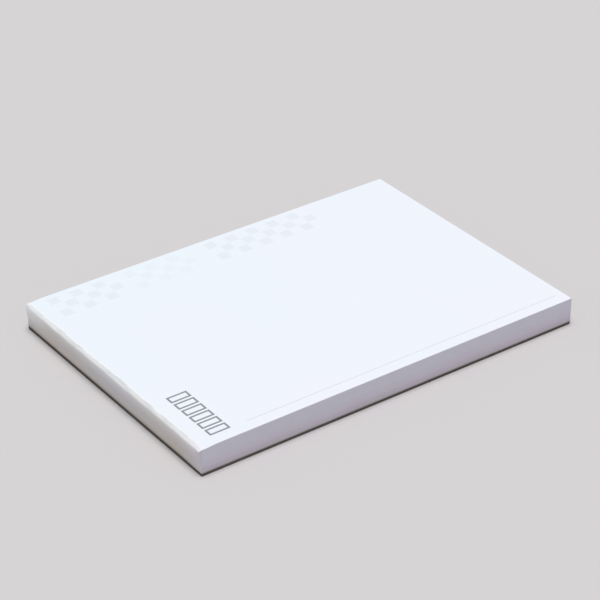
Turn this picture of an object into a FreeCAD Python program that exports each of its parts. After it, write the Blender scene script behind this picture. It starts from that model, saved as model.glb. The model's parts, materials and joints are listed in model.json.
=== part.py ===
"""A glued note pad of A5 size: a block of white sheets on a stiff grey board, held at the head by a brushed film
of padding gum. The cut edges of the block show every sheet. At the head the sheets are pinched together and rolled
over at the top, and the gum has gathered there in a bead, which stands out past the cut edges.

Frame, in millimetres: +Z up, out of the writing face; +Y towards the glued head; +X to the right of a reader
who looks at the head. The origin is the middle of the footprint, on the surface that the board rests on.
"""

import math
import os

import FreeCAD
import Part

# Sheets, trimmed to A5
SHEET_WIDTH = 148.0
SHEET_LENGTH = 210.0
SHEET_THICKNESS = 0.104  # writing paper of 80 g per square metre
STACK_HEIGHT = 13.0  # all the sheets together
SHEET_JOG = 0.04  # how far a sheet may lie from its true place

# The press pinches the sheets at the head while the gum dries: seen from the side, a gentle step down
PINCH_LENGTH = 8.0  # along Y, in from the head face
PINCH_DROP = 0.4  # along Z, down from the writing face

# Under the gum the block's top edge is rolled over: a quarter of an ellipse, seen from the side
ROLL_DEPTH = 1.5  # along Y, in from the head face
ROLL_DROP = 2.2  # along Z, down from the pinched top

BOARD_THICKNESS = 1.2

# Padding gum, brushed on the cut head edges
GUM_THICKNESS = 0.4  # of the plain film, below the bead
GUM_ON_BOARD = 0.2  # how far the film reaches down over the board's edge
GUM_TAPER = 0.4  # height in which the film's lower edge runs out

# The bead of gum along the top of the head, seen from the side
BEAD_NOSE = 1.8  # how far it stands out from the cut edges
NOSE_DROP = 3.4  # how far its nose is below the writing face
NOSE_RISE = 1.9  # how far up its face holds upright from the nose, before it turns in
BROW_OUT = 0.5  # how far its sloping brow stands out from the cut edges
BROW_DROP = 0.8  # how far its brow is below the writing face
BROW_SLOPE = 36.0  # degrees below level, at the brow
BROW_REACH = 0.4  # how far that slope holds, to either side
BEAD_RUN = 5.2  # height in which the bead runs back into the film below its nose
GUM_LAP = 0.4  # how far the gum reaches over the writing face, in from the roll
GUM_LIP = 0.06  # what is left of the gum where it ends there

GOLDEN_ANGLE = math.pi * (3.0 - math.sqrt(5.0))  # spreads the sheets' offsets evenly, with no pattern to see
FOOT_PHASE = 1.0  # radians between a sheet's offset at its sides and at its foot

# Places that follow from the sizes
SHEET_COUNT = max(1, round(STACK_HEIGHT / SHEET_THICKNESS))
SHEET_PITCH = STACK_HEIGHT / SHEET_COUNT
STACK_BOTTOM = BOARD_THICKNESS
STACK_TOP = STACK_BOTTOM + STACK_HEIGHT
HEAD_Y = (SHEET_LENGTH + SHEET_JOG - BEAD_NOSE) / 2
FOOT_Y = HEAD_Y - SHEET_LENGTH
LEFT_X = -SHEET_WIDTH / 2
PINCHED_TOP = STACK_TOP - PINCH_DROP
ROLL_FRONT_Y = HEAD_Y - ROLL_DEPTH
ROLL_BASE_Z = PINCHED_TOP - ROLL_DROP
FILM_Y = HEAD_Y + GUM_THICKNESS
GUM_FOOT = BOARD_THICKNESS - GUM_ON_BOARD
NOSE_Y = HEAD_Y + BEAD_NOSE
NOSE_Z = STACK_TOP - NOSE_DROP
BEAD_FOOT = NOSE_Z - BEAD_RUN
GUM_FRONT_Y = ROLL_FRONT_Y - GUM_LAP


def side_point(y, z):
    """A point of the pad's side outline, on its left."""
    return FreeCAD.Vector(LEFT_X, y, z)


def straight_edges(*points):
    """Straight edges from each point to the next."""
    return [Part.LineSegment(start, end).toShape() for start, end in zip(points, points[1:])]


def curved_edge(poles, weights):
    """One smooth edge from the first pole to the last, which leaves each end towards the pole beside it."""
    ends = (len(poles), len(poles))
    curve = Part.BSplineCurve()
    curve.buildFromPolesMultsKnots(poles, ends, (0, 1), False, len(poles) - 1, weights)
    return curve.toShape()


def quarter_ellipse(start, corner, end):
    """The quarter ellipse that leaves start towards corner and reaches end from it."""
    return curved_edge([start, corner, end], (1, math.sqrt(0.5), 1))


def free_curve(*poles):
    """A free curve on these poles, all of the same weight."""
    return curved_edge(list(poles), (1,) * len(poles))


def across_the_pad(edges, past_the_sides=0.0):
    """The side outline that these edges close, pulled out over the width of a sheet and so far past both sides."""
    outline = Part.Wire(Part.__sortEdges__(edges))
    outline.translate(FreeCAD.Vector(-past_the_sides, 0, 0))
    return Part.Face(outline).extrude(FreeCAD.Vector(SHEET_WIDTH + 2 * past_the_sides, 0, 0))


def sheet(index):
    """One sheet at its height in the block. Its head edge is flush, and its other edges show its offset."""
    turn = index * GOLDEN_ANGLE
    side_jog = SHEET_JOG * math.sin(turn)
    foot_jog = SHEET_JOG * math.sin(2 * turn + FOOT_PHASE)
    corner = FreeCAD.Vector(LEFT_X + side_jog, FOOT_Y + foot_jog, STACK_BOTTOM + index * SHEET_PITCH)
    return Part.makeBox(SHEET_WIDTH, SHEET_LENGTH - foot_jog, SHEET_PITCH, corner)


def pinched_off_top():
    """What the pinch and the roll take off the block's top at the head, over more than its width."""
    roll_base, roll_front = side_point(HEAD_Y, ROLL_BASE_Z), side_point(ROLL_FRONT_Y, PINCHED_TOP)
    pinch_end, pinch_start = side_point(GUM_FRONT_Y, PINCHED_TOP), side_point(HEAD_Y - PINCH_LENGTH, STACK_TOP)
    middle_y = (pinch_end.y + pinch_start.y) / 2
    above_z = STACK_TOP + GUM_THICKNESS
    above_start, above_nose = side_point(pinch_start.y, above_z), side_point(NOSE_Y, above_z)
    edges = [quarter_ellipse(roll_base, side_point(HEAD_Y, PINCHED_TOP), roll_front)]
    edges += straight_edges(roll_front, pinch_end)
    edges += [free_curve(pinch_end, side_point(middle_y, PINCHED_TOP), side_point(middle_y, STACK_TOP), pinch_start)]
    edges += straight_edges(pinch_start, above_start, above_nose, side_point(NOSE_Y, ROLL_BASE_Z), roll_base)
    return across_the_pad(edges, 2 * SHEET_JOG)


def sheet_block():
    """All the sheets as one solid, with the edge of each one showing and the head pinched and rolled over."""
    first, *others = [sheet(index) for index in range(SHEET_COUNT)]
    block = first.multiFuse(others).removeSplitter() if others else first
    return block.cut(pinched_off_top())


def backing_board():
    """The stiff grey board, trimmed with the sheets and flush with them."""
    return Part.makeBox(SHEET_WIDTH, SHEET_LENGTH, BOARD_THICKNESS, FreeCAD.Vector(LEFT_X, FOOT_Y, 0))


def gum_film():
    """The gum: a film on the head that runs out over the board, and a bead that runs thin on to the writing face."""
    roll_base, roll_front = side_point(HEAD_Y, ROLL_BASE_Z), side_point(ROLL_FRONT_Y, PINCHED_TOP)
    foot, film_foot = side_point(HEAD_Y, GUM_FOOT), side_point(FILM_Y, GUM_FOOT + GUM_TAPER)
    bead_foot, nose = side_point(FILM_Y, BEAD_FOOT), side_point(NOSE_Y, NOSE_Z)
    halfway_down = (BEAD_FOOT + NOSE_Z) / 2
    brow = side_point(HEAD_Y + BROW_OUT, STACK_TOP - BROW_DROP)
    slope = math.radians(BROW_SLOPE)
    down_the_brow = FreeCAD.Vector(0, math.cos(slope), -math.sin(slope)) * BROW_REACH
    lip, front = side_point(GUM_FRONT_Y, PINCHED_TOP + GUM_LIP), side_point(GUM_FRONT_Y, PINCHED_TOP)
    edges = straight_edges(roll_base, foot, film_foot, bead_foot)
    edges += [free_curve(bead_foot, side_point(FILM_Y, halfway_down), side_point(NOSE_Y, halfway_down), nose)]
    edges += [free_curve(nose, side_point(NOSE_Y, NOSE_Z + NOSE_RISE), brow + down_the_brow, brow)]
    edges += [free_curve(brow, brow - down_the_brow, side_point(HEAD_Y, PINCHED_TOP + GUM_LIP), lip)]
    edges += straight_edges(lip, front, roll_front)
    edges += [quarter_ellipse(roll_front, side_point(HEAD_Y, PINCHED_TOP), roll_base)]
    return across_the_pad(edges)


PIECES = {
    "sheet_block": sheet_block,
    "backing_board": backing_board,
    "gum_film": gum_film,
}

os.makedirs("parts", exist_ok=True)
for name, build in PIECES.items():
    shape = build()
    shape.exportStep(f"parts/{name}.step")
    box = shape.BoundBox
    print(
        f"{name}: {len(shape.Solids)} solid, {len(shape.Faces)} faces, valid {shape.isValid()}, "
        f"x {box.XMin:.3f} to {box.XMax:.3f}, y {box.YMin:.3f} to {box.YMax:.3f}, z {box.ZMin:.3f} to {box.ZMax:.3f}"
    )
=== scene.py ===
# %% [markdown]
# # A glued note pad
#
# A note pad is a block of loose sheets on a stiff grey board. The sheets are held along one short
# edge, the head, by a film of padding gum that is brushed on while the pads are stacked in a press.
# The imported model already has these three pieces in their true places, so this lesson only dresses
# them: it gives the block its cut sheet edges, the gum its brush marks, the board its pressed
# fibres, and the top sheet its print.
#
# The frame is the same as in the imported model: metres, +Z up out of the writing face, +Y towards
# the gummed head.

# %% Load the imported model
import json
import math
import random

import bmesh
import bpy
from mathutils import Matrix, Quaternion, Vector, geometry, noise

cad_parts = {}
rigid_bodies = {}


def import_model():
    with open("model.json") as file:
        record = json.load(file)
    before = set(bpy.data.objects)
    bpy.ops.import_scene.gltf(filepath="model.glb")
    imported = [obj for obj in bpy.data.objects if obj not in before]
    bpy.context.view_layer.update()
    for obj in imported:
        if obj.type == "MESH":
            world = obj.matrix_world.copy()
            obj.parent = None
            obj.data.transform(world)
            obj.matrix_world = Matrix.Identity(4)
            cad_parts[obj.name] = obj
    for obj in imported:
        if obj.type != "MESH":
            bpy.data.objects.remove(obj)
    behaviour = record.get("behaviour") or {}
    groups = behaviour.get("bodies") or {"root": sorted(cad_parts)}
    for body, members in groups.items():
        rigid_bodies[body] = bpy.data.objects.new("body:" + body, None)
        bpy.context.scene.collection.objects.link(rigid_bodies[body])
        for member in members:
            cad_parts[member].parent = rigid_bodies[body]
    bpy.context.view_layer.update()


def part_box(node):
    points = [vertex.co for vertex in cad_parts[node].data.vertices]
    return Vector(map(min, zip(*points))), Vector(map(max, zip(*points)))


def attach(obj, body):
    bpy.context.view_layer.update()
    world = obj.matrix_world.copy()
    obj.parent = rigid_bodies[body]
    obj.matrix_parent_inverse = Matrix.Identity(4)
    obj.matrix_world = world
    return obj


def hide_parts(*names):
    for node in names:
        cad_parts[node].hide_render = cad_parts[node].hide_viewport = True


for leftover in list(bpy.data.objects):
    bpy.data.objects.remove(leftover)
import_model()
MM = 0.001

# %% [markdown]
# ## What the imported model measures
#
# Every size below starts from the boxes of the three nodes, so the dressed pieces stay where the
# solids are even if the pad is packed again in another thickness. The block stands on the board,
# and the gum covers the head. The print lies on the page, so the page is a hair lower than the
# solid's top, and the two together end at that top.

# %% Read the pad's own sizes
block_low, block_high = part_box("sheet_block")
board_low, board_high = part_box("backing_board")
gum_low, gum_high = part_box("gum_film")
INK_ABOVE = 0.01 * MM
PAGE_TOP = block_high.z - INK_ABOVE
SIDE_X = board_high.x
FOOT_Y = board_low.y
HEAD_Y = board_high.y
NOSE_Y = gum_high.y
SHEETS = 125
PITCH = (PAGE_TOP - block_low.z) / SHEETS
print(f"{SHEETS} sheets of {PITCH / MM:.3f} mm on a board of {(board_high.z - board_low.z) / MM:.2f} mm")

# %% [markdown]
# ## The camera
#
# The camera is worked out from the straight edges of the pad. It looks down on the near corner of
# the head from about 31 degrees above the table with a long lens, which keeps the far edges almost
# parallel to the near ones. Its place is given as three angles, the last one a slight roll, a
# distance, and how far it is moved sideways and up without turning.

# %% Place the camera
AZIMUTH, ELEVATION, ROLL = math.radians(234.131), math.radians(31.303), math.radians(-0.107)
DISTANCE, ASIDE, RAISED = 1041.328 * MM, 0.741 * MM, 12.674 * MM
FOCAL_LENGTH_IN_PIXELS, PICTURE_WIDTH = 2191.5, 600

back = Vector((
    math.sin(AZIMUTH) * math.cos(ELEVATION),
    -math.cos(AZIMUTH) * math.cos(ELEVATION),
    math.sin(ELEVATION),
))
turn = (-back).to_track_quat("-Z", "Y") @ Quaternion((0, 0, 1), ROLL)
camera_data = bpy.data.cameras.new("camera")
camera_data.sensor_width = 36
camera_data.lens = FOCAL_LENGTH_IN_PIXELS / PICTURE_WIDTH * camera_data.sensor_width
camera_data.clip_start, camera_data.clip_end = 0.05, 50
camera = bpy.data.objects.new("camera", camera_data)
camera.rotation_mode = "QUATERNION"
camera.rotation_quaternion = turn
camera.location = back * DISTANCE + turn @ Vector((ASIDE, RAISED, 0))
bpy.context.scene.collection.objects.link(camera)
bpy.context.scene.camera = camera
bpy.context.scene.view_settings.view_transform = "Standard"
print(f"lens {camera_data.lens:.1f} mm, camera at {[round(v, 3) for v in camera.location]} m")

# %% [markdown]
# ## Nodes and colours
#
# Materials are trees of nodes. Two small helpers keep their code short: one adds a node and fills
# its inputs, where an input may be a plain value or the output of another node, and one turns a
# colour as it is read off paper, in steps of 0 to 255, into the linear light values that Blender
# works in.

# %% Helpers for materials
def place(tree, kind, values=None, **settings):
    """Adds a node of this kind, sets it, and fills its inputs with plain values or other nodes' outputs."""
    node = tree.nodes.new(kind)
    for name, value in settings.items():
        setattr(node, name, value)
    for socket, value in (values or {}).items():
        if isinstance(value, bpy.types.NodeSocket):
            tree.links.new(value, node.inputs[socket])
        else:
            node.inputs[socket].default_value = value
    return node


def colour(*steps):
    """A colour of 0 to 255 steps as linear red, green, blue and an alpha of 1."""
    parts = [step / 255 for step in steps]
    linear = [part / 12.92 if part <= 0.04045 else ((part + 0.055) / 1.055) ** 2.4 for part in parts]
    return (*linear, 1.0)


def new_material(name):
    """An empty material with its shader and output, and the tree they are in."""
    material = bpy.data.materials.new(name)
    material.use_nodes = True
    tree = material.node_tree
    tree.nodes.clear()
    shader = place(tree, "ShaderNodeBsdfPrincipled")
    place(tree, "ShaderNodeOutputMaterial", {"Surface": shader.outputs["BSDF"]})
    return material, tree, shader


print("paper white is", [round(part, 3) for part in colour(240, 246, 255)])

# %% [markdown]
# ## Light and table
#
# The pad lies on a plain pale table in a light tent, under one large soft light overhead. Both near
# sides are lit mostly by the table and the tent walls. The shadow is a narrow soft one that hugs
# the pad, a little deeper along the gum. A wide sun gives the light overhead: its angle is the size
# of the soft box in the sky. The tent walls are an even world, nearly as strong, and where the
# camera or a reflection sees the world, it sees the table's colour instead, so that the table has
# no visible end.

# %% Make the light
TABLE_COLOUR = colour(215, 212, 213)
SUN_SHARE, WALL_SHARE = 0.58, 0.42
SUN_WIDTH = math.radians(32)
SUN_DIRECTION = Vector((-0.07, 0.06, 1)).normalized()

sun_data = bpy.data.lights.new("overhead", "SUN")
sun_data.energy = SUN_SHARE * math.pi
sun_data.angle = SUN_WIDTH
sun = bpy.data.objects.new("overhead", sun_data)
sun.rotation_mode = "QUATERNION"
sun.rotation_quaternion = SUN_DIRECTION.to_track_quat("Z", "Y")
bpy.context.scene.collection.objects.link(sun)

world = bpy.data.worlds.new("tent")
world.use_nodes = True
world.node_tree.nodes.clear()
rays = place(world.node_tree, "ShaderNodeLightPath")
seen = place(world.node_tree, "ShaderNodeMath",
             {0: rays.outputs["Is Camera Ray"], 1: rays.outputs["Is Glossy Ray"]}, operation="MAXIMUM")
walls = place(world.node_tree, "ShaderNodeBackground", {"Color": (1, 1, 1, 1), "Strength": WALL_SHARE})
backdrop = place(world.node_tree, "ShaderNodeBackground", {"Color": TABLE_COLOUR, "Strength": 1.0})
blend = place(world.node_tree, "ShaderNodeMixShader",
              {0: seen.outputs[0], 1: walls.outputs[0], 2: backdrop.outputs[0]})
place(world.node_tree, "ShaderNodeOutputWorld", {"Surface": blend.outputs[0]})
bpy.context.scene.world = world
print(f"one soft light, {math.degrees(SUN_WIDTH):.0f} degrees wide, and tent walls of strength {WALL_SHARE}")

# %% [markdown]
# The table is a plain matt disc, wide enough that its rim is out of sight. It belongs to the picture and not
# to the pad, so it rides on no body.

# %% Make the table
TABLE_RADIUS = 6.0

table_material, tree, shader = new_material("table")
shader.inputs["Base Color"].default_value = TABLE_COLOUR
shader.inputs["Roughness"].default_value = 0.9
shader.inputs["Specular IOR Level"].default_value = 0.0
table_mesh = bmesh.new()
bmesh.ops.create_circle(table_mesh, cap_ends=True, segments=64, radius=TABLE_RADIUS)
table_data = bpy.data.meshes.new("table")
table_mesh.to_mesh(table_data)
table_mesh.free()
table_data.materials.append(table_material)
table = bpy.data.objects.new("table", table_data)
bpy.context.scene.collection.objects.link(table)
print(f"a table {2 * TABLE_RADIUS:.0f} m across")

# %% [markdown]
# ## Fibres: one effect for all papers
#
# Paper and board are both pressed fibres. Held to the light they look cloudy, because the fibres
# clump, and close up they are finely felted. Both are noise at two scales, so they go in one node
# group, and each material places it with its own values: how large the clumps are, how much they
# change the tone, and how rough the felt is.

# %% The fibre group
def new_group(name, inputs, outputs):
    """A shader group whose inputs are numbers or points and whose outputs are numbers, with its two ends."""
    group = bpy.data.node_groups.new(name, "ShaderNodeTree")
    for socket, value in inputs.items():
        kind = "NodeSocketVector" if value is None else "NodeSocketFloat"
        made = group.interface.new_socket(socket, in_out="INPUT", socket_type=kind)
        if value is not None:
            made.default_value = value
    for socket in outputs:
        group.interface.new_socket(socket, in_out="OUTPUT", socket_type="NodeSocketFloat")
    start, end = place(group, "NodeGroupInput"), place(group, "NodeGroupOutput")
    return group, start, end


def math_node(tree, operation, first, second=0.0, third=0.0):
    """The result of one sum on numbers or outputs."""
    values = {0: first, 1: second, 2: third}
    return place(tree, "ShaderNodeMath", values, operation=operation).outputs[0]


CLUMP_SHARE = 0.6

fibres, start, end = new_group(
    "pressed_fibres",
    {"Point": None, "Clumps per metre": 160.0, "Felt per metre": 2600.0, "Depth": 0.03},
    ["Tone", "Clumps", "Height"],
)
clumps = place(fibres, "ShaderNodeTexNoise", {
    "Vector": start.outputs["Point"],
    "Scale": start.outputs["Clumps per metre"],
    "Detail": 3.0,
    "Roughness": 0.6,
}).outputs[0]
felt = place(fibres, "ShaderNodeTexNoise", {
    "Vector": start.outputs["Point"],
    "Scale": start.outputs["Felt per metre"],
    "Detail": 2.0,
    "Roughness": 0.7,
}).outputs[0]
clumped = math_node(fibres, "MULTIPLY", clumps, CLUMP_SHARE)
mixed = math_node(fibres, "MULTIPLY_ADD", felt, 1 - CLUMP_SHARE, clumped)
dark = math_node(fibres, "MULTIPLY", math_node(fibres, "SUBTRACT", 1.0, mixed), start.outputs["Depth"])
fibres.links.new(math_node(fibres, "SUBTRACT", 1.0, dark), end.inputs["Tone"])
fibres.links.new(clumps, end.inputs["Clumps"])
fibres.links.new(felt, end.inputs["Height"])
print("group", fibres.name, "has", len(fibres.nodes), "nodes")

# %% [markdown]
# ## Layers: the lines of a cut stack
#
# On the cut sides every sheet shows as a line a tenth of a millimetre thick. No two are cut quite
# alike: one stands a hair proud and catches the light, and the next is a hair back. This group
# slices the height into layers of a given thickness, from a given height up. It gives each layer a
# tone of its own, a dark joint to the next one, and long thin streaks where the knife dragged.
# Paper, gum and board use it with their own thickness.

# %% The layer group
DRAG_SCALE = (60.0, 60.0, 9000.0)  # thin in height, long along the side
JOINT_STEEPNESS, JOINT_SOFTNESS = 6.0, 0.2

layers, start, end = new_group(
    "cut_layers",
    {"Point": None, "First at": 0.0, "Thickness": PITCH, "Contrast": 0.06, "Joint": 0.12},
    ["Tone", "Height"],
)
split = place(layers, "ShaderNodeSeparateXYZ", {0: start.outputs["Point"]})
above_first = math_node(layers, "SUBTRACT", split.outputs["Z"], start.outputs["First at"])
level = math_node(layers, "DIVIDE", above_first, start.outputs["Thickness"])
number = math_node(layers, "FLOOR", level)
own = place(layers, "ShaderNodeTexWhiteNoise", {"W": number}, noise_dimensions="1D").outputs["Value"]
drag_point = place(layers, "ShaderNodeMapping", {
    "Vector": start.outputs["Point"], "Scale": DRAG_SCALE,
}).outputs[0]
drag = place(layers, "ShaderNodeTexNoise", {"Vector": drag_point, "Scale": 1.0, "Detail": 2.0}).outputs[0]
part = math_node(layers, "FRACT", level)
from_middle = math_node(layers, "ABSOLUTE", math_node(layers, "SUBTRACT", part, 0.5))
from_joint = math_node(layers, "SUBTRACT", 0.5, from_middle)
rising = math_node(layers, "MULTIPLY", from_joint, JOINT_STEEPNESS)
flat = math_node(layers, "SMOOTH_MIN", rising, 1.0, JOINT_SOFTNESS)
uneven = math_node(layers, "MULTIPLY", math_node(layers, "ADD", own, drag), 0.5)
shade = math_node(layers, "MULTIPLY", math_node(layers, "SUBTRACT", 1.0, uneven), start.outputs["Contrast"])
gap = math_node(layers, "MULTIPLY", math_node(layers, "SUBTRACT", 1.0, flat), start.outputs["Joint"])
tone = math_node(layers, "SUBTRACT", math_node(layers, "SUBTRACT", 1.0, shade), gap)
height = math_node(layers, "MULTIPLY", flat, math_node(layers, "ADD", 0.5, uneven))
layers.links.new(tone, end.inputs["Tone"])
layers.links.new(height, end.inputs["Height"])
print("group", layers.name, "has", len(layers.nodes), "nodes")

# %% [markdown]
# ## Writing paper
#
# Office paper is whitened with a dye that gives back blue light, so it reads a little bluer than
# the white of the table. The dye takes unevenly: it leans to blue towards one corner of the page
# and to lavender towards the other. Under that lie the fibre clouds. The face is matt, with a bump
# so fine that it only breaks up the highlight.

# %% The writing face
def group_node(tree, group, values):
    """Places a shader group in a tree with its own values."""
    return place(tree, "ShaderNodeGroup", values, node_tree=group)


def darkened(tree, paint, tone):
    """A colour multiplied by a tone that changes over the surface."""
    return place(tree, "ShaderNodeVectorMath", {0: paint, 1: tone}, operation="MULTIPLY").outputs[0]


def tinted(tree, where, first, second):
    """A blend of two colours by a mask."""
    return place(tree, "ShaderNodeMix", {0: where, 6: first, 7: second}, data_type="RGBA").outputs[2]


def bump(tree, height, distance):
    """A surface normal from a height that runs from 0 to 1 over this distance."""
    return place(tree, "ShaderNodeBump", {"Height": height, "Distance": distance, "Strength": 1.0}).outputs[0]


DYE_SLANT = (-3.6, -1.8, 0.0)  # its share per metre, along X, Y and Z

writing_paper, tree, shader = new_material("writing_paper")
point = place(tree, "ShaderNodeTexCoord").outputs["Object"]
felted = group_node(tree, fibres, {"Point": point, "Depth": 0.012})
dye = place(tree, "ShaderNodeTexNoise", {"Vector": point, "Scale": 12.0, "Detail": 1.0}).outputs[0]
slant = place(tree, "ShaderNodeVectorMath", {0: point, 1: DYE_SLANT}, operation="DOT_PRODUCT")
leaning = place(tree, "ShaderNodeClamp", {0: math_node(tree, "ADD", slant.outputs["Value"], dye)}).outputs[0]
white = tinted(tree, leaning, colour(238, 247, 255), colour(244, 245, 255))
tree.links.new(darkened(tree, white, felted.outputs["Tone"]), shader.inputs["Base Color"])
tree.links.new(bump(tree, felted.outputs["Height"], 0.01 * MM), shader.inputs["Normal"])
shader.inputs["Roughness"].default_value = 0.75
shader.inputs["Specular IOR Level"].default_value = 0.2
print(writing_paper.name, "has", len(tree.nodes), "nodes")

# %% [markdown]
# ## Cut paper edges
#
# Seen from the side the same paper is darker, because light sinks in between the sheets before it comes back.
# The layer group draws the sheets. Lower down, the edges are painted darker and a little browner as painted
# shade from the table, and the border between the two drifts up and down along the pad. Just above the board
# the last few sheets are painted darker still, as a painted shadow along the foot where the pad meets the
# table.

# %% The cut sides of the block
WAVES_PER_METRE = 40.0
FOOT_SHADE_FADES_FROM = 1.4 * MM  # the painted shadow at the foot thins out from this height up


def height_mask(tree, point, low, high, drift=0.0):
    """A mask that is 0 under one height and 1 above another, with a border that drifts by so much."""
    height = place(tree, "ShaderNodeSeparateXYZ", {0: point}).outputs["Z"]
    waves = place(tree, "ShaderNodeTexNoise", {
        "Vector": point, "Scale": WAVES_PER_METRE, "Detail": 2.0,
    }).outputs[0]
    moved = math_node(tree, "MULTIPLY_ADD", math_node(tree, "SUBTRACT", waves, 0.5), 2 * drift, height)
    return place(tree, "ShaderNodeMapRange", {"Value": moved, "From Min": low, "From Max": high}).outputs[0]


paper_edges, tree, shader = new_material("cut_paper_edges")
point = place(tree, "ShaderNodeTexCoord").outputs["Object"]
lines = group_node(tree, layers, {
    "Point": point, "First at": block_low.z, "Thickness": PITCH, "Contrast": 0.05, "Joint": 0.08,
})
felted = group_node(tree, fibres, {"Point": point, "Clumps per metre": 90.0, "Depth": 0.05})
# Painted shade: the edges darken towards the table, and most of all just above the board, where the pad meets
# it.
above_foot_shade = height_mask(tree, point, FOOT_SHADE_FADES_FROM, 2.0 * MM, drift=0.1 * MM)
above_low_shade = height_mask(tree, point, 1.6 * MM, 5.0 * MM, drift=1.0 * MM)
above_table_shade = height_mask(tree, point, 4.5 * MM, 9.0 * MM, drift=1.5 * MM)
foot_shaded = tinted(tree, above_foot_shade, colour(128, 120, 118), colour(209, 203, 212))
low_shaded_edges = tinted(tree, above_low_shade, foot_shaded, colour(227, 220, 235))
edges_with_shade = tinted(tree, above_table_shade, low_shaded_edges, colour(230, 229, 242))
toned = darkened(tree, darkened(tree, edges_with_shade, lines.outputs["Tone"]), felted.outputs["Tone"])
tree.links.new(toned, shader.inputs["Base Color"])
tree.links.new(bump(tree, lines.outputs["Height"], 0.02 * MM), shader.inputs["Normal"])
shader.inputs["Roughness"].default_value = 0.85
shader.inputs["Specular IOR Level"].default_value = 0.15
print(paper_edges.name, "has", len(tree.nodes), "nodes")

# %% [markdown]
# ## Grey board
#
# The backing is grey board, pressed from waste paper: dark grey-brown, with lighter and darker
# fibres in it, and plies that show on the cut edge.

# %% The look of the board
PLY = 0.2 * MM

grey_board, tree, shader = new_material("grey_board")
point = place(tree, "ShaderNodeTexCoord").outputs["Object"]
plies = group_node(tree, layers, {"Point": point, "Thickness": PLY, "Contrast": 0.35, "Joint": 0.15})
felted = group_node(tree, fibres, {
    "Point": point, "Clumps per metre": 700.0, "Felt per metre": 3500.0, "Depth": 0.5,
})
pulp = tinted(tree, felted.outputs["Clumps"], colour(96, 91, 87), colour(132, 126, 119))
toned = darkened(tree, darkened(tree, pulp, plies.outputs["Tone"]), felted.outputs["Tone"])
tree.links.new(toned, shader.inputs["Base Color"])
tree.links.new(bump(tree, felted.outputs["Height"], 0.06 * MM), shader.inputs["Normal"])
shader.inputs["Roughness"].default_value = 0.9
shader.inputs["Specular IOR Level"].default_value = 0.15
print(grey_board.name, "has", len(tree.nodes), "nodes")

# %% [markdown]
# ## Padding gum
#
# Padding gum dries milky, and less blue than the paper. The sheets behind it show through as faint lines, and
# the brush leaves long marks along the head. On its brow it has paler and darker patches, which are partly
# smears and partly painted glints of the light on the bead. The marks and the patches are noise that a
# Mapping node stretches along the head.

# %% The gum's marks
STROKE_SCALE, SMEAR_SCALE = (25.0, 900.0, 900.0), (140.0, 700.0, 700.0)

padding_gum, tree, shader = new_material("padding_gum")
point = place(tree, "ShaderNodeTexCoord").outputs["Object"]
lines = group_node(tree, layers, {
    "Point": point, "First at": block_low.z, "Thickness": PITCH, "Contrast": 0.04, "Joint": 0.05,
})
stroke_point = place(tree, "ShaderNodeMapping", {"Vector": point, "Scale": STROKE_SCALE}).outputs[0]
strokes = place(tree, "ShaderNodeTexNoise", {"Vector": stroke_point, "Scale": 1.0, "Detail": 3.0}).outputs[0]
smear_point = place(tree, "ShaderNodeMapping", {"Vector": point, "Scale": SMEAR_SCALE}).outputs[0]
smears = place(tree, "ShaderNodeTexNoise", {"Vector": smear_point, "Scale": 1.0, "Detail": 2.0}).outputs[0]
smears_and_glints = place(tree, "ShaderNodeMapRange", {"Value": smears, "From Min": 0.35, "From Max": 0.65}).outputs[0]
print(padding_gum.name, "has", len(tree.nodes), "nodes for its marks")

# %% [markdown]
# Towards the table the film is painted darker and warmer as painted shade from the table, and it is darkest
# just above the board. Its tone drifts from warm to cool along the head with each pass of the brush, which is
# a slow wave along X. It is milky where the last lick ran out, and thin enough for the paper's tone to show
# where the first one began.

# %% The film's tones
WARM_PLACE, PASS_LENGTH = 41 * MM, 92 * MM
LAST_LICK, FIRST_LICK_START, FIRST_LICK_END = 24 * MM, 4 * MM, 16 * MM  # in from the end where each one is
COOL, WARM = (0.98, 1.0, 1.05, 1.0), (1.0, 0.985, 0.955, 1.0)
GUM_FOOT_SHADE_TOP = 2.4 * MM

# Painted shade: the face darkens towards the table, and most of all just above the board.
above_foot_shade = height_mask(tree, point, FOOT_SHADE_FADES_FROM, GUM_FOOT_SHADE_TOP, drift=0.2 * MM)
above_low_shade = height_mask(tree, point, 2.0 * MM, 4.0 * MM, drift=0.6 * MM)
above_gum_table_shade = height_mask(tree, point, 2.6 * MM, 7 * MM, drift=1.5 * MM)
thin_milk = tinted(tree, strokes, colour(215, 213, 214), colour(220, 218, 219))
low_shaded_gum = tinted(tree, strokes, colour(207, 201, 194), colour(212, 206, 200))
foot_shaded = tinted(tree, above_foot_shade, colour(116, 110, 105), colour(196, 188, 181))
below = tinted(tree, above_gum_table_shade, tinted(tree, above_low_shade, foot_shaded, low_shaded_gum), thin_milk)
along, from_head = place(tree, "ShaderNodeSeparateXYZ", {0: point}).outputs[:2]
from_warm = math_node(tree, "SUBTRACT", along, WARM_PLACE)
passes = math_node(tree, "COSINE", math_node(tree, "MULTIPLY", from_warm, 2 * math.pi / PASS_LENGTH))
hued = darkened(tree, below, tinted(tree, math_node(tree, "MULTIPLY_ADD", passes, 0.5, 0.5), COOL, WARM))
last_lick = place(tree, "ShaderNodeMapRange", {
    "Value": along, "From Min": SIDE_X - LAST_LICK, "From Max": SIDE_X,
}).outputs[0]
milkier = math_node(tree, "MULTIPLY", last_lick, height_mask(tree, point, 3 * MM, 9 * MM))
licked = tinted(tree, milkier, hued, colour(242, 244, 247))
first_lick = place(tree, "ShaderNodeMapRange", {
    "Value": along, "From Min": FIRST_LICK_END - SIDE_X, "From Max": FIRST_LICK_START - SIDE_X, "To Max": 0.7,
}).outputs[0]
paper_toned = tinted(tree, first_lick, licked, colour(220, 216, 224))
print(padding_gum.name, "has", len(tree.nodes), "nodes with its tones")
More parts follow.
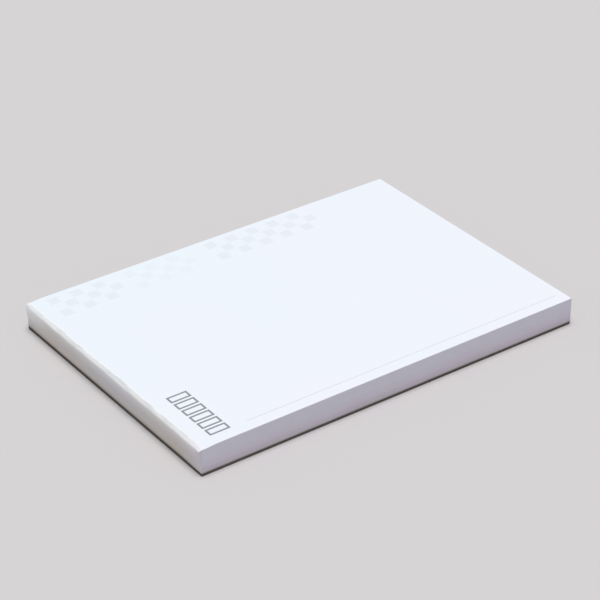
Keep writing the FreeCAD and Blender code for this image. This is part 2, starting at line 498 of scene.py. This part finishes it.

# %% [markdown]
# The brow carries the most gum towards both ends. Its milk is painted lighter than the face below, and this
# is partly painted light: the bright band of the overhead light on the bead. Where it runs thin on to the
# writing face, and at both ends, it takes the paper's colour, with an uneven border. Gum is smoother than
# paper, so it has a satin gloss that runs in streaks.

# %% The brow, and its border on the page
BROW_FOOT, BROW_TOP = 12.4 * MM, 13.2 * MM
THICKER_FROM, THICKER_TO = 30 * MM, 66 * MM  # out from the middle of the head
BORDER_DRIFT, BORDER_AT_ENDS, BORDER_END_LENGTH = 2.6 * MM, 1.6 * MM, 3 * MM
MILKY_FROM, MILKY_TO = 0.95 * MM, 0.4 * MM  # in from the head
PULLED_FROM = 12.6 * MM

# Partly painted light: the brow's milk is lighter than the face below, and its paler patches are painted
# glints.
milk_with_light = tinted(tree, smears_and_glints, colour(220, 224, 226), colour(236, 236, 238))
out_from_middle = math_node(tree, "ABSOLUTE", along)
thicker = place(tree, "ShaderNodeMapRange", {
    "Value": out_from_middle,
    "From Min": THICKER_FROM,
    "From Max": THICKER_TO,
    "To Min": 0.96,
    "To Max": 1.06,
}).outputs[0]
lit_brow_milk = tinted(tree, first_lick, darkened(tree, milk_with_light, thicker), colour(241, 236, 245))
film = tinted(tree, height_mask(tree, point, BROW_FOOT, BROW_TOP), paper_toned, lit_brow_milk)
waves = place(tree, "ShaderNodeTexNoise", {"Vector": point, "Scale": 110.0, "Detail": 3.0}).outputs[0]
near_ends = place(tree, "ShaderNodeMapRange", {
    "Value": out_from_middle,
    "From Min": SIDE_X - BORDER_END_LENGTH,
    "From Max": SIDE_X,
    "To Max": BORDER_AT_ENDS,
}).outputs[0]
pulled_in = math_node(tree, "MULTIPLY", near_ends, height_mask(tree, point, PULLED_FROM, BROW_TOP))
wavering = math_node(tree, "MULTIPLY_ADD", math_node(tree, "SUBTRACT", waves, 0.5), BORDER_DRIFT, from_head)
milky = place(tree, "ShaderNodeMapRange", {
    "Value": math_node(tree, "SUBTRACT", wavering, pulled_in),
    "From Min": HEAD_Y - MILKY_FROM,
    "From Max": HEAD_Y - MILKY_TO,
}).outputs[0]
over_page = tinted(tree, milky, colour(245, 251, 255), film)
tree.links.new(darkened(tree, over_page, lines.outputs["Tone"]), shader.inputs["Base Color"])
tree.links.new(bump(tree, strokes, 0.05 * MM), shader.inputs["Normal"])
gloss = place(tree, "ShaderNodeMapRange", {"Value": strokes, "To Min": 0.35, "To Max": 0.6}).outputs[0]
tree.links.new(gloss, shader.inputs["Roughness"])
shader.inputs["Specular IOR Level"].default_value = 0.4
print(padding_gum.name, "has", len(tree.nodes), "nodes in all")

# %% [markdown]
# At both ends of the head the gum was trimmed with the sheets. Its cut section is painted a little darker
# than their cut edges, as painted shade standing in for the shade that the sheets' grooves cast on the sides.
# It is darker still towards the table and at its foot, as painted shade from the table.

# %% The cut ends of the gum
cut_gum_with_shade, tree, shader = new_material("cut_gum_with_shade")
point = place(tree, "ShaderNodeTexCoord").outputs["Object"]
felted = group_node(tree, fibres, {"Point": point, "Clumps per metre": 400.0, "Depth": 0.04})
# Painted shade: the section is darker than the paper's edges, and it darkens towards the table and at its
# foot.
above_foot_shade = height_mask(tree, point, FOOT_SHADE_FADES_FROM, GUM_FOOT_SHADE_TOP, drift=0.1 * MM)
above_table_shade = height_mask(tree, point, 2 * MM, 9 * MM, drift=1.0 * MM)
shaded_sections = tinted(tree, above_table_shade, colour(204, 198, 208), colour(210, 209, 220))
foot_shaded_sections = tinted(tree, above_foot_shade, colour(116, 110, 105), shaded_sections)
tree.links.new(darkened(tree, foot_shaded_sections, felted.outputs["Tone"]), shader.inputs["Base Color"])
tree.links.new(bump(tree, felted.outputs["Height"], 0.02 * MM), shader.inputs["Normal"])
shader.inputs["Roughness"].default_value = 0.7
shader.inputs["Specular IOR Level"].default_value = 0.2
print(cut_gum_with_shade.name, "has", len(tree.nodes), "nodes")

# %% [markdown]
# ## Printing inks
#
# Ink is soaked up by the paper, so a printed area keeps the paper's clouds and looks uneven close
# up. All inks are the same recipe: a grey for the heading, a lighter one for the thin rule, and two
# tints hardly darker than the sheet for the pale shapes.

# %% The inks
def printing_ink(name, light, heavy, depth=0.08):
    """A matt ink that is a little heavier where the paper's fibres clump, by this depth."""
    material, tree, shader = new_material(name)
    point = place(tree, "ShaderNodeTexCoord").outputs["Object"]
    felted = group_node(tree, fibres, {"Point": point, "Clumps per metre": 900.0, "Depth": depth})
    inked = tinted(tree, felted.outputs["Clumps"], light, heavy)
    tree.links.new(darkened(tree, inked, felted.outputs["Tone"]), shader.inputs["Base Color"])
    tree.links.new(bump(tree, felted.outputs["Height"], 0.01 * MM), shader.inputs["Normal"])
    shader.inputs["Roughness"].default_value = 0.7
    shader.inputs["Specular IOR Level"].default_value = 0.2
    return material


heading_ink = printing_ink("heading_ink", colour(156, 162, 168), colour(140, 146, 153))
rule_ink = printing_ink("rule_ink", colour(223, 228, 237), colour(214, 220, 230))
pale_ink = printing_ink("pale_ink", colour(239, 245, 254), colour(237, 243, 252))
faint_ink = printing_ink("faint_ink", colour(240, 246, 254), colour(238, 244, 253), 0.04)
print("materials:", [material.name for material in bpy.data.materials])

# %% [markdown]
# ## The block of sheets
#
# The block could stay a plain box with lines painted on it, but its edges would look printed. Here
# it is built as it is on the bench: one sheet's outline is drawn and raised sheet by sheet, with a
# small groove after each. Then every point on the sides is nudged a few hundredths of a millimetre,
# because no sheet is jogged or cut exactly like its neighbour, and the head is pinched together and
# rolled over at the top.

# %% Raise the sheets
CELL = 5.25 * MM
GROOVE_SHARE = 0.14


def new_vertices(grown):
    """The points among what an extrude has made."""
    return [part for part in grown if isinstance(part, bmesh.types.BMVert)]


def raised_ring(mesh, ring, shift):
    """Extrudes a ring of edges by a shift, and gives the ring at the new place."""
    grown = bmesh.ops.extrude_edge_only(mesh, edges=ring)["geom"]
    moved = set(new_vertices(grown))
    bmesh.ops.translate(mesh, verts=list(moved), vec=shift)
    edges = [part for part in grown if isinstance(part, bmesh.types.BMEdge)]
    return [edge for edge in edges if edge.verts[0] in moved and edge.verts[1] in moved]


def flat_sheet(width, length, centre_y, level, cell):
    """A flat sheet, cut into cells so that its outline can be bent later."""
    mesh = bmesh.new()
    across, along = max(1, round(width / cell)), max(1, round(length / cell))
    bmesh.ops.create_grid(mesh, x_segments=across, y_segments=along, size=0.5)
    bmesh.ops.scale(mesh, verts=mesh.verts, vec=(width, length, 1))
    bmesh.ops.translate(mesh, verts=mesh.verts, vec=(0, centre_y, level))
    return mesh


block = flat_sheet(2 * SIDE_X, HEAD_Y - FOOT_Y, (HEAD_Y + FOOT_Y) / 2, block_low.z, CELL)
inside = [edge for edge in block.edges if not edge.is_boundary]
bmesh.ops.delete(block, geom=inside, context="EDGES")
bottom_ring = list(block.edges)
ring = bottom_ring
for sheet in range(SHEETS):
    for rise in (GROOVE_SHARE / 2, 1 - GROOVE_SHARE, GROOVE_SHARE / 2):
        ring = raised_ring(block, ring, Vector((0, 0, rise * PITCH)))
bmesh.ops.contextual_create(block, geom=ring)
bmesh.ops.contextual_create(block, geom=bottom_ring)
print("the plain block has", len(block.verts), "points and", len(block.faces), "faces")

# %% [markdown]
# The press squeezes the sheets together at the head, so the writing face steps down gently there.
# The block is cut across in a few rows, so that it has points to bend along that step.

# %% Cut rows for the pinch
PINCH_LENGTH, PINCH_DROP, PINCH_ROWS = 8.0 * MM, 0.4 * MM, 8
GUM_FRONT, PINCH_START = gum_low.y, HEAD_Y - PINCH_LENGTH

for row in range(PINCH_ROWS + 1):
    row_y = GUM_FRONT + (PINCH_START - GUM_FRONT) * row / PINCH_ROWS
    everything = block.verts[:] + block.edges[:] + block.faces[:]
    bmesh.ops.bisect_plane(block, geom=everything, plane_co=(0, row_y, 0), plane_no=(0, 1, 0))


def pinched(y, z):
    """The height to which the pinch takes a point of the block."""
    in_from_head = min(1.0, max(0.0, (y - PINCH_START) / (GUM_FRONT - PINCH_START)))
    step = in_from_head * in_from_head * (3 - 2 * in_from_head)
    return z - PINCH_DROP * step * (z - block_low.z) / (PAGE_TOP - block_low.z)


sunk = pinched(HEAD_Y, PAGE_TOP) / MM
print(f"the block now has {len(block.verts)} points, and its top sinks to {sunk:.2f} mm")

# %% [markdown]
# The roll at the head is a quarter of an ellipse: flat where it leaves the pinched top, upright
# where it meets the head. The nudges come from smooth noise, which gives the same result each time,
# and a seeded shuffle moves each sheet as a whole. They move only points on a side, and only across
# that side.

# %% Nudge the edges, and pinch and roll the head
ROLL_DEPTH, ROLL_DROP = 1.5 * MM, 2.2 * MM
JOG, GROOVE_DEPTH = 0.02 * MM, 0.03 * MM
BURR, BURR_LENGTH = 0.015 * MM, 7 * MM
BURR_CHANGE = 1.7  # in the noise, from one sheet to the next
SAME_PLACE = 1e-6
FACING = 0.99  # a face whose normal has more than this along an axis looks that way
PINCHED_TOP = PAGE_TOP - PINCH_DROP
shuffle = random.Random(12)
jogs = [(shuffle.uniform(-JOG, JOG), shuffle.uniform(-JOG, JOG)) for sheet in range(SHEETS)]


def head_line(height):
    """How far the head stands from the pad's middle at a height, with the roll."""
    above = max(0.0, height - (PINCHED_TOP - ROLL_DROP)) / ROLL_DROP
    return HEAD_Y - ROLL_DEPTH * (1 - math.sqrt(max(0.0, 1 - above * above)))


block.normal_update()
for face in block.faces:
    face.material_index = 0 if abs(face.normal.z) > FACING else 1
for vertex in block.verts:
    x, y, z = vertex.co
    level = (z - block_low.z) / PITCH
    sheet = min(SHEETS - 1, max(0, int(level)))
    in_groove = abs(level - round(level)) < GROOVE_SHARE / 4
    side_jog, foot_jog = jogs[sheet]
    burr = BURR * noise.noise(Vector((x / BURR_LENGTH, y / BURR_LENGTH, sheet * BURR_CHANGE)))
    dip = GROOVE_DEPTH if in_groove and block_low.z + SAME_PLACE < z < PAGE_TOP - SAME_PLACE else 0.0
    if abs(abs(x) - SIDE_X) < SAME_PLACE:
        vertex.co.x = x + math.copysign(1.0, x) * (burr - dip) + side_jog
    if abs(y - FOOT_Y) < SAME_PLACE:
        vertex.co.y = y + foot_jog - burr + dip
    vertex.co.z = pinched(y, z)
    if abs(y - HEAD_Y) < SAME_PLACE:
        vertex.co.y = head_line(vertex.co.z) - dip / 3
print("sheets are jogged by up to", JOG / MM, "mm")

# %% [markdown]
# A finished bmesh becomes an object with its place in its mesh. Every piece rides on the pad's one
# body.

# %% Make the block a piece
def finished_piece(mesh, name, slot, *materials):
    """Turns a bmesh into a named piece that rides on the pad, with its materials. The slot is not used."""
    bmesh.ops.recalc_face_normals(mesh, faces=mesh.faces)
    data = bpy.data.meshes.new(name)
    mesh.to_mesh(data)
    mesh.free()
    for material in materials:
        data.materials.append(material)
    piece = bpy.data.objects.new(name, data)
    bpy.context.scene.collection.objects.link(piece)
    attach(piece, "root")
    triangles = sum(len(face.vertices) - 2 for face in data.polygons)
    print(f"{name}: {triangles} triangles")
    return piece


block_piece = finished_piece(block, "cut_sheets", "paper", writing_paper, paper_edges)
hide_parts("sheet_block")

# %% [markdown]
# ## The backing board
#
# The board is a plain rectangle cut with the same knife as the sheets. Its edges are pressed a
# little round, more so underneath, where it slides on tables. So a small bevel goes round all of
# them, and the corners are blunt. At the head the knife has pushed the board out a little past the
# sheets.

# %% Cut the board
CORNER_BLUNTNESS, TOP_BLUNTNESS, BOTTOM_BLUNTNESS = 0.35 * MM, 0.1 * MM, 0.3 * MM
BOARD_PROUD = 0.5 * MM
RIM_ANGLE = math.radians(60)  # two faces that meet at more than this have a rim between them


def blunted(mesh, edges, size, segments):
    """Rounds these edges off by this size."""
    round_off = {"affect": "EDGES", "profile": 0.5, "material": -1}
    bmesh.ops.bevel(mesh, geom=edges, offset=size, segments=segments, **round_off)


board = bmesh.new()
bmesh.ops.create_cube(board, size=1)
bmesh.ops.scale(board, verts=board.verts, vec=board_high - board_low)
bmesh.ops.translate(board, verts=board.verts, vec=(board_high + board_low) / 2)
head_corners = [corner for corner in board.verts if corner.co.y > 0]
bmesh.ops.translate(board, verts=head_corners, vec=(0, BOARD_PROUD, 0))
upright = [edge for edge in board.edges if abs(edge.verts[0].co.z - edge.verts[1].co.z) > SAME_PLACE]
blunted(board, upright, CORNER_BLUNTNESS, 4)
board.normal_update()
rims = [edge for edge in board.edges if edge.calc_face_angle(0.0) > RIM_ANGLE]
top_rim = [edge for edge in rims if edge.verts[0].co.z > board_low.z + SAME_PLACE]
bottom_rim = [edge for edge in rims if edge not in top_rim]
blunted(board, top_rim, TOP_BLUNTNESS, 2)
blunted(board, bottom_rim, BOTTOM_BLUNTNESS, 3)
board_piece = finished_piece(board, "board", "board", grey_board)
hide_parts("backing_board")

# %% [markdown]
# ## The gum
#
# The gum is brushed on the cut head while the pads stand in their press. It dries as a film there,
# and gathers along the top in a bead that stands out past the sheets and runs thin on to the
# writing face. The bead is drawn from the side and pulled along the head cell by cell, as the
# sheets were raised. Free curves with two handles draw it, as they do in a drawing program. Seen
# from the side it has a flat brow that slopes down to a crest, and a steep face below that.

# %% Helpers for an outline
def bend(start, toward_start, toward_end, end, count):
    """The points of a free curve after its start, which leaves each end towards that end's handle."""
    knots = [Vector((0, *knot)) for knot in (start, toward_start, toward_end, end)]
    return [point.copy() for point in geometry.interpolate_bezier(*knots, count + 1)[1:]]


def drawn_ring(mesh, points):
    """Draws a closed ring: a point is pulled to each place in turn, and the last is joined to the first."""
    first = last = mesh.verts.new(points[0])
    edges = []
    for point in points[1:]:
        grown = bmesh.ops.extrude_vert_indiv(mesh, verts=[last])
        last = grown["verts"][0]
        last.co = point
        edges += grown["edges"]
    return edges + [mesh.edges.new((last, first))]


print("a bend in 4 steps adds", len(bend((0, 0), (0, 1), (1, 1), (1, 0), 4)), "points")

# %% The outline of the gum
GUM_THICKNESS, GUM_TAPER = 0.4 * MM, 0.4 * MM
GUM_FOOT, LIP_TOP = gum_low.z, gum_high.z
BEAD_HEIGHT = 8.6 * MM  # from the writing face down to where the bead ends on the film
FILM_Y, BEAD_FOOT = HEAD_Y + GUM_THICKNESS, PAGE_TOP - BEAD_HEIGHT
ROLL_BASE, ROLL_FRONT = PINCHED_TOP - ROLL_DROP, HEAD_Y - ROLL_DEPTH
ROUND = 0.5523  # the share of a quarter round at which its handles stand
BROW_START_OUT, BROW_START_DROP = 0.1 * MM, 0.05 * MM  # where the brow leaves the thin lip
BROW_REACH = 0.9 * MM  # how far up from the crest the brow's slope holds
TUCK_OUT, TUCK_DOWN = 0.08 * MM, 0.1 * MM  # how the crest turns over into the steep face


def gum_outline(crest_out, crest_drop, nose_out, nose_drop):
    """The gum's outline in the side view, for a crest and a nose that stand so far out and so far down."""
    film_foot, bead_foot, lip = (FILM_Y, GUM_FOOT + GUM_TAPER), (FILM_Y, BEAD_FOOT), (GUM_FRONT, LIP_TOP)
    crest = (HEAD_Y + crest_out, PAGE_TOP - crest_drop)
    nose = (HEAD_Y + nose_out, PAGE_TOP - nose_drop)
    halfway_down = (BEAD_FOOT + nose[1]) / 2
    halfway_up = (nose[1] + crest[1]) / 2
    under_crest = (crest[0] + TUCK_OUT, crest[1] - TUCK_DOWN)
    brow_start = (HEAD_Y + BROW_START_OUT, LIP_TOP - BROW_START_DROP)
    fall = (brow_start[1] - crest[1]) / (crest[0] - brow_start[0])
    up_the_brow = (crest[0] - BROW_REACH, crest[1] + fall * BROW_REACH)
    points = [Vector((0, HEAD_Y, GUM_FOOT)), Vector((0, *film_foot))]
    points += bend(film_foot, film_foot, bead_foot, bead_foot, 5)
    points += bend(bead_foot, (FILM_Y, halfway_down), (nose[0], halfway_down), nose, 9)
    points += bend(nose, (nose[0], halfway_up), under_crest, crest, 8)
    points += bend(crest, up_the_brow, brow_start, lip, 10)
    points += [Vector((0, GUM_FRONT, PINCHED_TOP)), Vector((0, ROLL_FRONT, PINCHED_TOP))]
    return points + bend((ROLL_FRONT, PINCHED_TOP), (ROLL_FRONT + ROUND * ROLL_DEPTH, PINCHED_TOP),
                         (HEAD_Y, ROLL_BASE + ROUND * ROLL_DROP), (HEAD_Y, ROLL_BASE), 8)


NOSE_OUT = NOSE_Y - HEAD_Y
middle_outline = gum_outline(
    crest_out=NOSE_OUT - 0.55 * MM, crest_drop=0.95 * MM, nose_out=NOSE_OUT, nose_drop=3.3 * MM,
)
near_end_outline = gum_outline(
    crest_out=NOSE_OUT - 0.02 * MM, crest_drop=0.75 * MM, nose_out=NOSE_OUT - 0.45 * MM, nose_drop=3.3 * MM,
)
far_end_outline = gum_outline(
    crest_out=NOSE_OUT - 1.2 * MM, crest_drop=1.1 * MM, nose_out=NOSE_OUT - 0.95 * MM, nose_drop=3.6 * MM,
)
print(f"the gum's outline has {len(middle_outline)} points and stands {NOSE_OUT / MM:.1f} mm out at its nose")

# %% [markdown]
# No bead is as even as its outline. At the end nearer the camera, where the brush was set down, its
# crest stands out in a sharper tip. At the far end, where the brush left it, it is rounder and less
# far out. Smooth noise dents it here and there, the brush leaves shallow ripples on the film below
# it, and the thin front edge wanders. The other points that lie on the sheets stay where they are.

# %% Make the bead uneven
END_LENGTH = 5.0 * MM  # the bead changes its outline over this length at both ends
BEAD_DENT, LONG_DENT, SHORT_DENT, DENT_SINK = 0.4 * MM, 14 * MM, 5 * MM, 0.4
RIPPLE, RIPPLE_LENGTH, RIPPLE_SPACING = 0.05 * MM, 25 * MM, 1.1 * MM
FRONT_WANDER, WANDER_LENGTH = 0.35 * MM, 9 * MM
NOISE_ROW = 0.37  # smooth noise is 0 on whole numbers, so this keeps between them
LIP_STEP = next(
    step for step, point in enumerate(middle_outline)
    if abs(point.z - LIP_TOP) < SAME_PLACE and abs(point.y - GUM_FRONT) < SAME_PLACE
)


def wave(x, length, seed):
    """Smooth noise along the head, from 0 to 1, with humps about this long."""
    return 0.5 + 0.5 * noise.noise(Vector((x / length, NOISE_ROW, seed)))


def gum_point(step, x):
    """Where a step of the outline lies at a place along the head."""
    end_share = max(0.0, 1 - (SIDE_X - abs(x)) / END_LENGTH) ** 2
    end_outline = far_end_outline if x > 0 else near_end_outline
    point = middle_outline[step].lerp(end_outline[step], end_share)
    on_sheets = step == 0 or step >= LIP_STEP
    if not on_sheets:
        out = min(1.0, max(0.0, (point.y - FILM_Y) / NOSE_OUT))
        dents = 0.5 * wave(x, LONG_DENT, seed=1.0) + 0.5 * wave(x, SHORT_DENT, seed=2.0)
        dent = BEAD_DENT * out * (1 - end_share) * dents
        ripple = RIPPLE * wave(x, RIPPLE_LENGTH, point.z / RIPPLE_SPACING) if point.z < ROLL_BASE else 0.0
        point.y -= dent + ripple
        point.z -= DENT_SINK * dent
    if step in (LIP_STEP, LIP_STEP + 1):
        point.y += FRONT_WANDER * wave(x, WANDER_LENGTH, seed=7.0)
    return Vector((x, point.y, point.z))


print(f"point {LIP_STEP} of the outline is the lip on the writing face")

# %% [markdown]
# The outline is drawn at one end of the head and raised along it in cells of a millimetre, and both
# ends are closed. Each point then looks up which step of the outline it is, and goes to that step's
# uneven place.

# %% Pull the gum along the head
GUM_CELL = 1.0 * MM
SHARP_ANGLE = math.radians(50)  # the light breaks where two faces meet at more than this

gum = bmesh.new()
ring = drawn_ring(gum, middle_outline)
bmesh.ops.translate(gum, verts=gum.verts, vec=(-SIDE_X, 0, 0))
first_ring = ring
for cell in range(round(2 * SIDE_X / GUM_CELL)):
    ring = raised_ring(gum, ring, Vector((GUM_CELL, 0, 0)))
bmesh.ops.contextual_create(gum, geom=first_ring)
bmesh.ops.contextual_create(gum, geom=ring)
for vertex in gum.verts:
    x, side_view = vertex.co.x, Vector((0, vertex.co.y, vertex.co.z))
    step = min(range(len(middle_outline)), key=lambda number: (middle_outline[number] - side_view).length)
    vertex.co = gum_point(step, x)
gum.normal_update()
for face in gum.faces:
    face.material_index = 1 if abs(face.normal.x) > FACING else 0
gum_piece = finished_piece(gum, "gum", "gum", padding_gum, cut_gum_with_shade)
gum_piece.data.set_sharp_from_angle(angle=SHARP_ANGLE)
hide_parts("gum_film")

# %% [markdown]
# ## Print
#
# The heading is a row of plain boxes, as for a date, and a thin rule runs down one side of the
# page. Chequered tiles, hardly darker than the paper, run down the other. Each mark is a sheet of
# ink that stands a hundredth of a millimetre out of the page and is sunk a little into it: its
# place and edges are then sharp from any distance.

# %% Print helpers
INK_BELOW = 0.005 * MM


def print_mark(mesh, low_x, low_y, high_x, high_y, line=0.0):
    """Adds one printed rectangle, filled, or open with a line of this weight."""
    made = bmesh.ops.create_grid(mesh, x_segments=1, y_segments=1, size=0.5)["verts"]
    bmesh.ops.scale(mesh, verts=made, vec=((high_x - low_x), (high_y - low_y), 1))
    centre_x, centre_y = (low_x + high_x) / 2, (low_y + high_y) / 2
    bmesh.ops.translate(mesh, verts=made, vec=(centre_x, centre_y, PAGE_TOP - INK_BELOW))
    faces = list({face for vertex in made for face in vertex.link_faces})
    if line:
        even_line = {"thickness": line, "use_boundary": True, "use_even_offset": True}
        rim = bmesh.ops.inset_region(mesh, faces=faces, **even_line)
        bmesh.ops.delete(mesh, geom=faces, context="FACES")
        faces = rim["faces"]
    grown = bmesh.ops.extrude_face_region(mesh, geom=faces)["geom"]
    bmesh.ops.translate(mesh, verts=new_vertices(grown), vec=(0, 0, INK_ABOVE + INK_BELOW))


print(f"ink reaches {INK_BELOW / MM:.3f} mm into the page and stands {INK_ABOVE / MM:.3f} mm out of it")

# %% The heading boxes
HEADING_LEFT, HEADING_RIGHT = -67.6 * MM, -32.3 * MM
HEADING_FOOT, HEADING_TOP = 84.85 * MM, 95.55 * MM
BOXES, BOX_SPACING, HEADING_LINE = 6, 1.2 * MM, 1.0 * MM

heading = bmesh.new()
box_width = (HEADING_RIGHT - HEADING_LEFT - (BOXES - 1) * BOX_SPACING) / BOXES
for box in range(BOXES):
    left = HEADING_LEFT + box * (box_width + BOX_SPACING)
    print_mark(heading, left, HEADING_FOOT, left + box_width, HEADING_TOP, HEADING_LINE)
finished_piece(heading, "heading_boxes", "heading_ink", heading_ink)

# %% The side rule
RULE_X, RULE_WEIGHT = -67.6 * MM, 0.35 * MM
RULE_HEAD, RULE_FOOT = 76.75 * MM, -101.25 * MM

rule = bmesh.new()
print_mark(rule, RULE_X - RULE_WEIGHT / 2, RULE_FOOT, RULE_X + RULE_WEIGHT / 2, RULE_HEAD)
finished_piece(rule, "side_rule", "heading_ink", rule_ink)

# %% The pale tiles
TILE_LOW_X, TILE = 53.0 * MM, 5.6 * MM
TILE_SPACING, TILE_ROWS = 0.6 * MM, 3
TILE_GROUPS = ((95.9 * MM, 6), (53.9 * MM, 6), (6.9 * MM, 10))  # where each begins on Y, and its steps
FAINT_GROUP = 1  # the middle group has hardly taken the ink

tiles = bmesh.new()
for group, (start_y, count) in enumerate(TILE_GROUPS):
    earlier_faces = len(tiles.faces)
    for step in range(count):
        for row in range(TILE_ROWS):
            if (step + row) % 2 == 0:
                low_x = TILE_LOW_X + row * (TILE + TILE_SPACING)
                high_y = start_y - step * (TILE + TILE_SPACING)
                print_mark(tiles, low_x, high_y - TILE, low_x + TILE, high_y)
    tiles.faces.ensure_lookup_table()
    for face in tiles.faces[earlier_faces:]:
        face.material_index = 1 if group == FAINT_GROUP else 0
finished_piece(tiles, "pale_tiles", "pale_ink", pale_ink, faint_ink)
